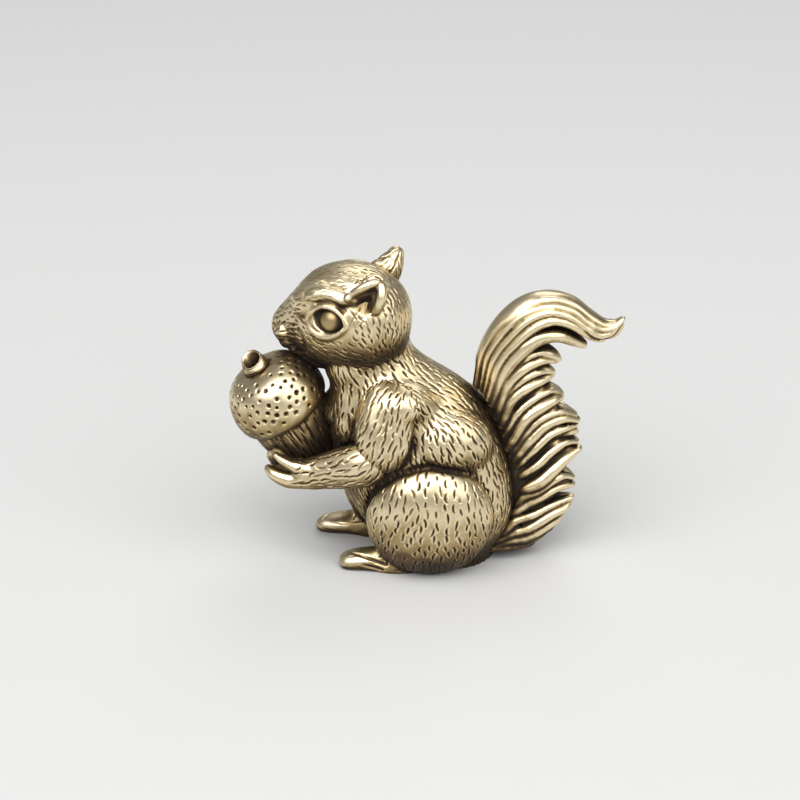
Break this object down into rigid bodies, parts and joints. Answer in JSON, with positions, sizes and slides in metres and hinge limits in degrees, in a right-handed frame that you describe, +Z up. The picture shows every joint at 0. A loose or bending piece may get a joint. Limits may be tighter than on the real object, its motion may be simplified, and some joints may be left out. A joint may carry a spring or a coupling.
{
  "type": "squirrel figurine",
  "caption": "Small seated squirrel cast in brass with a curled plume tail, holding a dimpled acorn whose stem is bored to take an incense stick.",
  "frame": {"origin": "middle of the bounding box at the plane it sits on", "axes": "+Z up, -X the way the nose points, -Y the animal's left side"},
  "size_m": [0.0446, 0.0202, 0.0362],
  "materials": {
    "body_brass": "antique: dark in the cut fur, rubbed bright on the high parts",
    "tail_brass": "antique: polished ridges, dark grooves",
    "acorn_brass": "antique: rubbed bright, dark in the pits and grooves",
    "eye_brass": "antique: darker, smooth"
  },
  "bodies": {
    "root": {"torso": "body_brass", "head": "body_brass", "ear_left": "body_brass", "ear_right": "body_brass", "eye_left": "eye_brass", "eye_right": "eye_brass", "arm_left": "body_brass", "arm_right": "body_brass", "paw_left": "body_brass", "paw_right": "body_brass", "haunch_left": "body_brass", "haunch_right": "body_brass", "foot_left": "body_brass", "foot_right": "body_brass", "tail": "tail_brass", "acorn_nut": "acorn_brass", "acorn_cap": "acorn_brass", "acorn_stem": "acorn_brass"}
  },
  "joints": []
}
